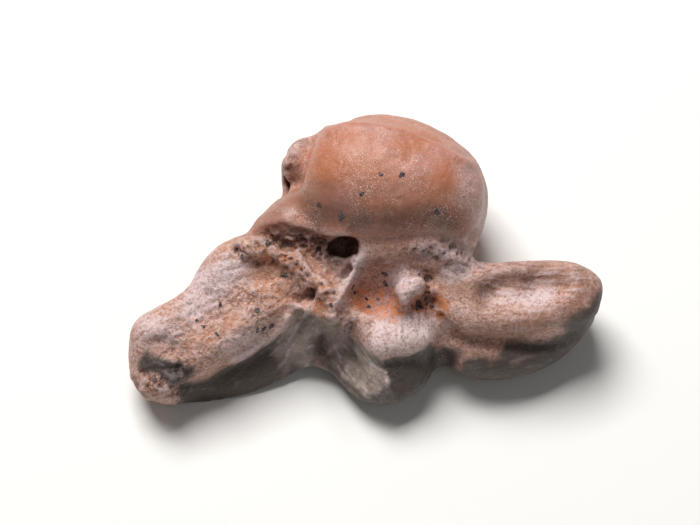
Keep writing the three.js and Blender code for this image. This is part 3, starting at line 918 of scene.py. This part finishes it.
class BoneShop(Shop):
    """Makes the bone's nodes, and holds the zones and patterns that are read more than once."""

    def __init__(self) -> None:
        """Starts the material and makes the shared values."""
        super().__init__("fossil_bone")
        self.here = self.place()
        self.dome = self.attribute("dome")
        self.crust = self.attribute("crust")
        self.wall = self.attribute("wall")
        self.bloom_and_highlight = self.attribute("bloom_and_highlight")
        self.fibres = self.attribute("fibres")
        self.crease = self.attribute("crease")
        self.hollow = self.attribute("hollow")
        self.broad = self.noise(self.here, 5.0)
        self.middle = self.noise(self.here, 1.3, 4.0)
        self.fine = self.noise(self.here, 0.33, 4.0, 0.65)
        self.mottle = self.noise(self.here, 0.22, 3.0, 0.7, seed=5.0)
        self.grit = self.noise(self.here, 0.1, 2.0, seed=1.0)


@dataclass(frozen=True)
class FossilBone:
    """The finish of mineralised bone: brown and smooth on the dome, paler and rougher elsewhere, with
    painted shade and highlights.

    The texts are colours, and the bump's numbers are heights in millimetres.
    """

    dome: str = "b3683f"
    # A darker tone of the dome, also painted as shade on its lower part.
    dome_dark_and_shade: str = "7a5544"
    dome_pink: str = "bd8174"
    plain: str = "dfb3a4"
    plain_dark: str = "98664f"
    tan: str = "d8946c"
    brown: str = "8f5f44"
    lilac: str = "cbb0b4"
    flank: str = "b29f93"
    # Painted shade on the lower walls, and the lighter fibre streaks in it.
    wall: str = "37312a"
    wall_light: str = "7c756a"
    # Painted shade: near black in the deepest hollows.
    pit: str = "120c09"
    # Pale bone for fibres and worn edges, also used for the painted highlights of the whitish patches.
    pale: str = "e0c9ca"
    grey: str = "ab9c92"
    stain: str = "e07c34"
    stain_low: str = "9a5a3c"
    shade: str = "623f31"
    # Painted shade in hollows and creases.
    recess_shade: str = "3f2c22"
    # White specks, partly painted glints.
    speck_and_glint: str = "f0e2da"
    fleck: str = "2e2627"
    rough: float = 0.46
    rough_fine: float = 0.2
    rough_crust: float = 0.14
    rough_dome: float = 0.05
    specular: float = 0.6
    coat: float = 0.1
    coat_dome: float = 0.03
    coat_rough: float = 0.34
    bump_mottle: float = 0.13
    bump_grit: float = 0.055
    bump_crust: float = 0.16
    dome_calm: float = 0.78

    def ground(self, shop: BoneShop) -> NodeSocket:
        """Mixes the bone's own colours: the dome's and those of the rest."""
        plain = shop.mixed(shop.mottle.between(0.34, 0.64), tint(self.plain_dark), tint(self.plain))
        plain = shop.layered(plain, (
            (shop.middle.between(0.5, 0.72) * 0.5, self.lilac),
            (shop.broad.between(0.5, 0.7) * 0.35, self.tan)))
        smooth = shop.mixed(shop.broad.between(0.42, 0.7), tint(self.dome), tint(self.dome_pink))
        smooth = shop.layered(smooth, (
            (shop.middle.between(0.5, 0.75) * 0.5, self.dome_dark_and_shade),
            (shop.mottle.between(0.35, 0.7) * 0.4, self.dome_pink),
            # Painted shade on the dome's lower part.
            (shop.attribute("lower_dome_shade") * 0.45, self.dome_dark_and_shade)))
        return shop.mixed(shop.dome, plain, smooth)

    def zoned(self, shop: BoneShop, colour: NodeSocket) -> NodeSocket:
        """Lays the colours of the zones, with their painted shade and highlights, and of the fibres over the
        ground.
        """
        turned_shade = shop.attribute("turned_shade") * (0.35 + 0.65 * shop.broad.between(0.35, 0.6))
        browned = shop.attribute("brown") * shop.middle.between(0.25, 0.5)
        shaded = shop.attribute("shade") * shop.fine.between(0.15, 0.5)
        dust_and_highlight = shop.bloom_and_highlight * shop.mottle.between(0.26, 0.58)
        fibrous = shop.attribute("fibrous")
        bare = 1.0 - shop.dome * 0.8
        streaks = shop.fibres.between(0.1, 0.9) * bare
        gaps = (shop.fibres * -1.0).between(0.15, 0.9) * bare
        tanned = shop.attribute("tan") * shop.fine.between(0.25, 0.55)
        flank = shop.attribute("flank") * (0.45 + 0.55 * shop.middle.between(0.35, 0.6))
        stain = shop.attribute("stain")
        rusty = stain * shop.noise(shop.here, 0.42, 5.0, 0.75, seed=6.0).between(0.46, 0.55)
        return shop.layered(colour, (
            # Painted shade: darker brown where the surface turns away from the viewer.
            (turned_shade * (0.65 - shop.dome * 0.3), self.brown),
            (browned * 0.65, self.brown),
            (shaded * 0.85, self.shade),
            # Whitish patches, partly painted highlights.
            (dust_and_highlight * (0.85 - shop.dome * 0.45), self.pale),
            (streaks * (0.14 + fibrous * 0.26), self.pale),
            (gaps * (0.18 + fibrous * 0.22), self.shade),
            (shop.crust * shop.middle.between(0.5, 0.7) * 0.3, self.grey),
            (tanned * 0.6, self.tan),
            # Painted shade on the lower walls, with lighter fibre streaks in it.
            (shop.wall * 0.94, self.wall),
            (shop.wall * streaks * 0.3, self.wall_light),
            (flank * 0.9, self.flank),
            (flank * streaks * 0.7, self.pale),
            (stain * 0.55, self.stain_low),
            (rusty * 0.72, self.stain)))

    def weathered_and_shaded(self, shop: BoneShop, colour: NodeSocket) -> NodeSocket:
        """Lays rust spots, dark grit, painted shade in hollows and creases, worn edges, white specks and
        painted glints, and dark flecks on top.
        """
        spots = shop.noise(shop.here, 0.22, 2.0, seed=2.0).between(0.6, 0.68)
        rough = shop.attribute("rough")
        worn = (shop.crease * -1.0).between(0.005, 0.03) * (1.0 - shop.dome * 0.7)
        bits = shop.noise(shop.here, 0.06, 1.0, seed=7.0).between(0.57, 0.69)
        strewn = (shop.noise(shop.here, 2.4, 3.0, seed=3.0) + shop.bloom_and_highlight * 0.15).between(0.34, 0.68)
        specks = bits * strewn * (1.0 - shop.wall * 0.7)
        flecks = shop.noise(shop.here, 0.2, 2.0, seed=4.0).between(0.66, 0.72)
        return shop.layered(colour, (
            (spots * (shop.crust * 0.5 + 0.12) * (1.0 - shop.wall), self.stain),
            (shop.grit.between(0.48, 0.3) * (0.4 - shop.dome * 0.25), self.shade),
            # Painted shade in hollows and creases, stronger in the rough zones.
            (shop.hollow.between(0.08, 0.5) * 0.2, self.recess_shade),
            (shop.crease.between(0.02, 0.07) * (0.42 + rough * 0.4), self.recess_shade),
            (worn * (0.35 - shop.wall * 0.25), self.pale),
            # White specks, partly painted glints.
            (specks * (0.55 + shop.dome * 0.3), self.speck_and_glint),
            (flecks * (0.7 - shop.dome * 0.35), self.fleck),
            # Painted shade: the deepest hollows, such as the windows, near black.
            (shop.hollow.between(0.45, 0.9) * 0.93, self.pit)))

    def material(self) -> Material:
        """Builds the material."""
        shop = BoneShop()
        colour = self.weathered_and_shaded(shop, self.zoned(shop, self.ground(shop)))
        rough = self.rough + self.rough_fine * shop.fine + self.rough_crust * shop.crust
        rough = rough - self.rough_dome * shop.dome
        height = self.bump_mottle * shop.mottle + self.bump_grit * shop.grit
        height = height * (1.0 - shop.dome * self.dome_calm) + self.bump_crust * shop.crust * shop.fine
        return shop.finished({
            "Base Color": colour, "Roughness": rough, "Normal": shop.bump(height, 1.0, MM),
            "Specular IOR Level": self.specular, "Coat Weight": self.coat + self.coat_dome * shop.dome,
            "Coat Roughness": self.coat_rough})


@dataclass(frozen=True)
class DarkMineral:
    """The finish of the mineral grains: nearly black, with a dull shine."""

    dark: str = "3c3236"
    light: str = "756764"

    def material(self) -> Material:
        """Builds the material."""
        shop = Shop("dark_mineral")
        patches = shop.noise(shop.place(), 0.2, 3.0)
        colour = shop.mixed(patches.between(0.4, 0.7), tint(self.dark), tint(self.light))
        return shop.finished({"Base Color": colour, "Roughness": 0.25 + 0.4 * patches})


@dataclass(frozen=True)
class Sediment:
    """The finish of the crumbs of sediment: pale to rusty brown."""

    pale: str = "c9a893"
    rusty: str = "b56a3e"
    dark: str = "6b4736"

    def material(self) -> Material:
        """Builds the material."""
        shop = Shop("sediment")
        own = shop.attribute("own")
        colour = shop.mixed(own.between(0.2, 0.5), tint(self.pale), tint(self.rusty))
        colour = shop.mixed(own.between(0.7, 0.9), colour, tint(self.dark))
        grit = shop.noise(shop.place(), 0.08, 2.0)
        return shop.finished({"Base Color": colour, "Roughness": 0.6 + 0.3 * grit,
                              "Normal": shop.bump(grit, 0.5, 0.03 * MM)})


GRAIN_SEED = 3
CRUMB_SEED = 5

# Clusters of mineral grains: x, y and reach in the view, and how many grains.
CLUSTERS = (
    (-1.81, 5.54, 0.38, 12), (5.3, 5.83, 0.2, 5), (2.63, 8.57, 0.2, 6), (-0.25, 7.16, 0.12, 3),
    (-3.44, 6.35, 0.18, 5), (1.08, 8.65, 0.1, 3), (-6.05, 1.08, 0.24, 6), (-12.11, -2.7, 0.16, 4),
    (-11.1, -3.23, 0.14, 4), (-12.6, -2.21, 0.12, 3), (-8.11, -1.5, 0.2, 5), (-7.7, -2.9, 0.22, 6),
    (-8.1, -3.05, 0.2, 5), (-10.91, -1.02, 0.12, 3), (1.48, 1.27, 0.22, 7), (1.55, 0.48, 0.2, 5),
    (-0.77, -0.19, 0.14, 4), (-0.95, 0.22, 0.1, 3), (4.03, -1.24, 0.26, 8), (4.7, -0.94, 0.28, 9),
    (5.08, -1.17, 0.22, 6), (-2.56, -1.09, 0.2, 5), (-7.13, -2.74, 0.12, 3), (-4.5, 3.4, 0.2, 5),
    (-6.6, 3.9, 0.2, 5), (-5.7, 3.5, 0.18, 4), (-5.1, 3.9, 0.14, 3), (-7.3, 3.6, 0.16, 4),
    (-3.7, 3.0, 0.14, 3), (-9.2, 2.6, 0.14, 3), (0.3, -1.3, 0.14, 3), (1.0, -0.7, 0.12, 3),
    (0.1, -0.6, 0.1, 2), (-15.8, -6.6, 0.16, 4),
)

# Where crumbs of sediment lie: a line in the view, its reach and how many crumbs.
CRUMBS = (
    (((-7.6, 3.8), (-3.6, 3.1)), 0.55, 90),
    (((-9.2, 3.2), (-5.4, 2.0), (-3.6, 0.4)), 0.8, 90),
    (((-7.4, 0.9), (-5.2, -0.6)), 1.1, 60),
    (((3.7, 1.3), (4.9, 0.6), (4.8, -1.2)), 0.5, 45),
    (((0.0, -1.2), (1.8, -1.3)), 0.7, 40),
    (((4.2, 3.2), (7.2, 2.4)), 0.6, 40),
    (((5.4, -3.9), (6.4, -5.6)), 0.5, 30),
    (((-16.6, -7.4), (-14.2, -6.8)), 0.8, 30),
)


class Scatter:
    """Sets small, angular bits on the bone, all joined into one piece.

    Attributes:
        sizes: the smallest and the largest half width of a bit, in millimetres.
        flat: a bit's height as a share of its width.
        spread: how far bits stray, as a share of their patch's reach.
    """

    sizes: tuple[float, float]
    flat: float
    spread: float
    above = 30.0  # where the search for the surface starts, mm
    corners = 11  # corners of a bit
    sunk = 0.15  # how deep a bit sits, as a share of its half width
    longest = 0.5  # how much longer than wide a bit may be

    def __init__(self, skin: Object, seed: int) -> None:
        """Prepares the surface that the bits sit on.

        Args:
            skin: the bone's skin.
            seed: starts the random draws.
        """
        build = bmesh.new()
        build.from_mesh(skin.data)
        self.tree = BVHTree.FromBMesh(build)
        build.free()
        self.draw = np.random.default_rng(seed)
        self.build = bmesh.new()
        self.own = self.build.verts.layers.float.new("own")

    def drop(self, x: float, y: float) -> None:
        """Sets a bit, partly sunk, where the bone lies below this point of the view."""
        start = Vector(TympanicView.placed(np.array((x, y, self.above))))
        place, normal, _, _ = self.tree.ray_cast(start, -VIEW_AXIS)
        if place is None:
            return
        size = self.draw.uniform(*self.sizes)
        corners = self.draw.normal(size=(self.corners, 3))
        corners /= np.linalg.norm(corners, axis=1)[:, None]
        verts = [self.build.verts.new(corner) for corner in corners]
        bmesh.ops.convex_hull(self.build, input=verts)
        own = float(self.draw.random())
        stretch = Vector((1.0 + self.longest * float(self.draw.random()), 1.0, self.flat)) * size * MM
        spin = Matrix.Rotation(float(self.draw.random()) * math.tau, 4, "Z")
        stand = normal.to_track_quat("Z", "Y").to_matrix().to_4x4()
        seat = Matrix.Translation(place - normal * (self.sunk * size * MM))
        turn = seat @ stand @ spin @ Matrix.Diagonal((*stretch, 1.0))
        for vert in verts:
            vert.co = turn @ vert.co
            vert[self.own] = own

    def piece(self, name: str) -> Object:
        """Joins the bits into an object."""
        bmesh.ops.recalc_face_normals(self.build, faces=self.build.faces)
        return linked(name, settled(name, self.build))


class MineralGrains(Scatter):
    """The dark crystals on the bone."""

    sizes = (0.11, 0.22)
    flat = 0.6
    spread = 0.7

    def make(self) -> Object:
        """Grows every cluster.

        Returns:
            The joined grains.
        """
        for x, y, reach, count in CLUSTERS:
            for _ in range(count):
                turn, far = self.draw.random(2) * (math.tau, self.spread * reach)
                self.drop(x + far * math.cos(turn), y + far * math.sin(turn))
        return self.piece("mineral_grains")


class SedimentCrumbs(Scatter):
    """The crumbs of sediment left in the hollows."""

    sizes = (0.03, 0.08)
    flat = 0.7
    spread = 0.5

    def make(self) -> Object:
        """Sets the crumbs along their lines.

        Returns:
            The joined crumbs.
        """
        for corners, reach, count in CRUMBS:
            nodes = np.array(corners)
            for _ in range(count):
                walk = self.draw.random() * (len(nodes) - 1)
                k = int(walk)
                stray = self.draw.normal(size=2) * reach * self.spread
                self.drop(*(nodes[k] + (nodes[k + 1] - nodes[k]) * (walk - k) + stray))
        return self.piece("sediment_crumbs")


@dataclass(frozen=True)
class Lamp:
    """A square soft light that faces the bone.

    Attributes:
        name: the light's name.
        towards: the direction from the bone to the light.
        away: how far off it is, in metres.
        side: its side, in metres.
        power: its power, in watts.
    """

    name: str
    towards: tuple[float, float, float]
    away: float
    side: float
    power: float

    def hang(self) -> None:
        """Makes the light."""
        light = bpy.data.lights.new(self.name, "AREA")
        light.size = self.side
        light.energy = self.power
        lamp = linked(self.name, light)
        way = Vector(self.towards).normalized()
        turn = way.to_track_quat("Z", "Y").to_matrix().to_4x4()
        lamp.matrix_world = Matrix.Translation(way * self.away) @ turn


# The key light comes from above, a little from behind.
LAMPS = (Lamp("key", (-0.25, 0.5, 1.1), 0.42, 0.22, 2.2), Lamp("fill", (0.5, -0.6, 0.9), 0.5, 0.4, 0.22))


@dataclass(frozen=True)
class Studio:
    """The pale floor, the soft light and the camera.

    Attributes:
        floor_side: side of the floor, in metres.
        floor_colour: its colour.
        floor_rough: its roughness.
        sky: strength of the white light from all round.
        lens: the camera's focal length, in millimetres.
        sensor: width of its sensor, in millimetres.
        clip: the nearest and the farthest that it sees, in metres.
        distance: how far it is from the view's origin, in millimetres.
        aim: x and y of what it looks at, in the view.
    """

    floor_side: float = 0.9
    floor_colour: str = "f2f0ec"
    floor_rough: float = 0.9
    sky: float = 0.09
    lens: float = 150.0
    sensor: float = 36.0
    clip: tuple[float, float] = (0.01, 5.0)
    distance: float = 218.96
    aim: tuple[float, float] = (-1.14, 2.09)

    def floor(self) -> None:
        """Lays a plain pale floor."""
        build = bmesh.new()
        bmesh.ops.create_grid(build, x_segments=1, y_segments=1, size=self.floor_side / 2)
        floor = linked("floor", settled("floor", build))
        finish = {"Base Color": tint(self.floor_colour), "Roughness": self.floor_rough}
        floor.data.materials.append(Shop("floor").finished(finish))

    def light(self) -> None:
        """Hangs the lights and sets the light from all round."""
        for lamp in LAMPS:
            lamp.hang()
        world = bpy.data.worlds.new("studio")
        world.use_nodes = True
        sky = world.node_tree.nodes["Background"]
        sky.inputs["Color"].default_value = (1.0, 1.0, 1.0, 1.0)
        sky.inputs["Strength"].default_value = self.sky
        bpy.context.scene.world = world

    def camera(self) -> None:
        """Sets the camera square to the tympanic view."""
        data = bpy.data.cameras.new("camera")
        data.lens = self.lens
        data.sensor_width = self.sensor
        data.clip_start, data.clip_end = self.clip
        camera = linked("camera", data)
        place = TympanicView.placed(np.array((*self.aim, self.distance)))
        turn = Matrix((VIEW_RIGHT, VIEW_UP, VIEW_AXIS)).transposed().to_4x4()
        camera.matrix_world = Matrix.Translation(Vector(place)) @ turn
        bpy.context.scene.camera = camera

    def build(self) -> None:
        """Makes the floor, the lights and the camera."""
        self.floor()
        self.light()
        self.camera()
        bpy.context.scene.view_settings.view_transform = "Standard"


def main() -> None:
    """Builds the bone and the studio."""
    logging.basicConfig(level=logging.INFO, format="%(message)s")
    Studio().build()
    skin = Skin(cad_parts[NODE]).build()
    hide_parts(NODE)
    grains = MineralGrains(skin, GRAIN_SEED).make()
    crumbs = SedimentCrumbs(skin, CRUMB_SEED).make()
    for piece, finish in ((skin, FossilBone()), (grains, DarkMineral()), (crumbs, Sediment())):
        piece.data.materials.append(finish.material())
        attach(piece, BODY)
        LOG.info("%s: %d faces", piece.name, len(piece.data.polygons))


if __name__ == "__main__":
    main()
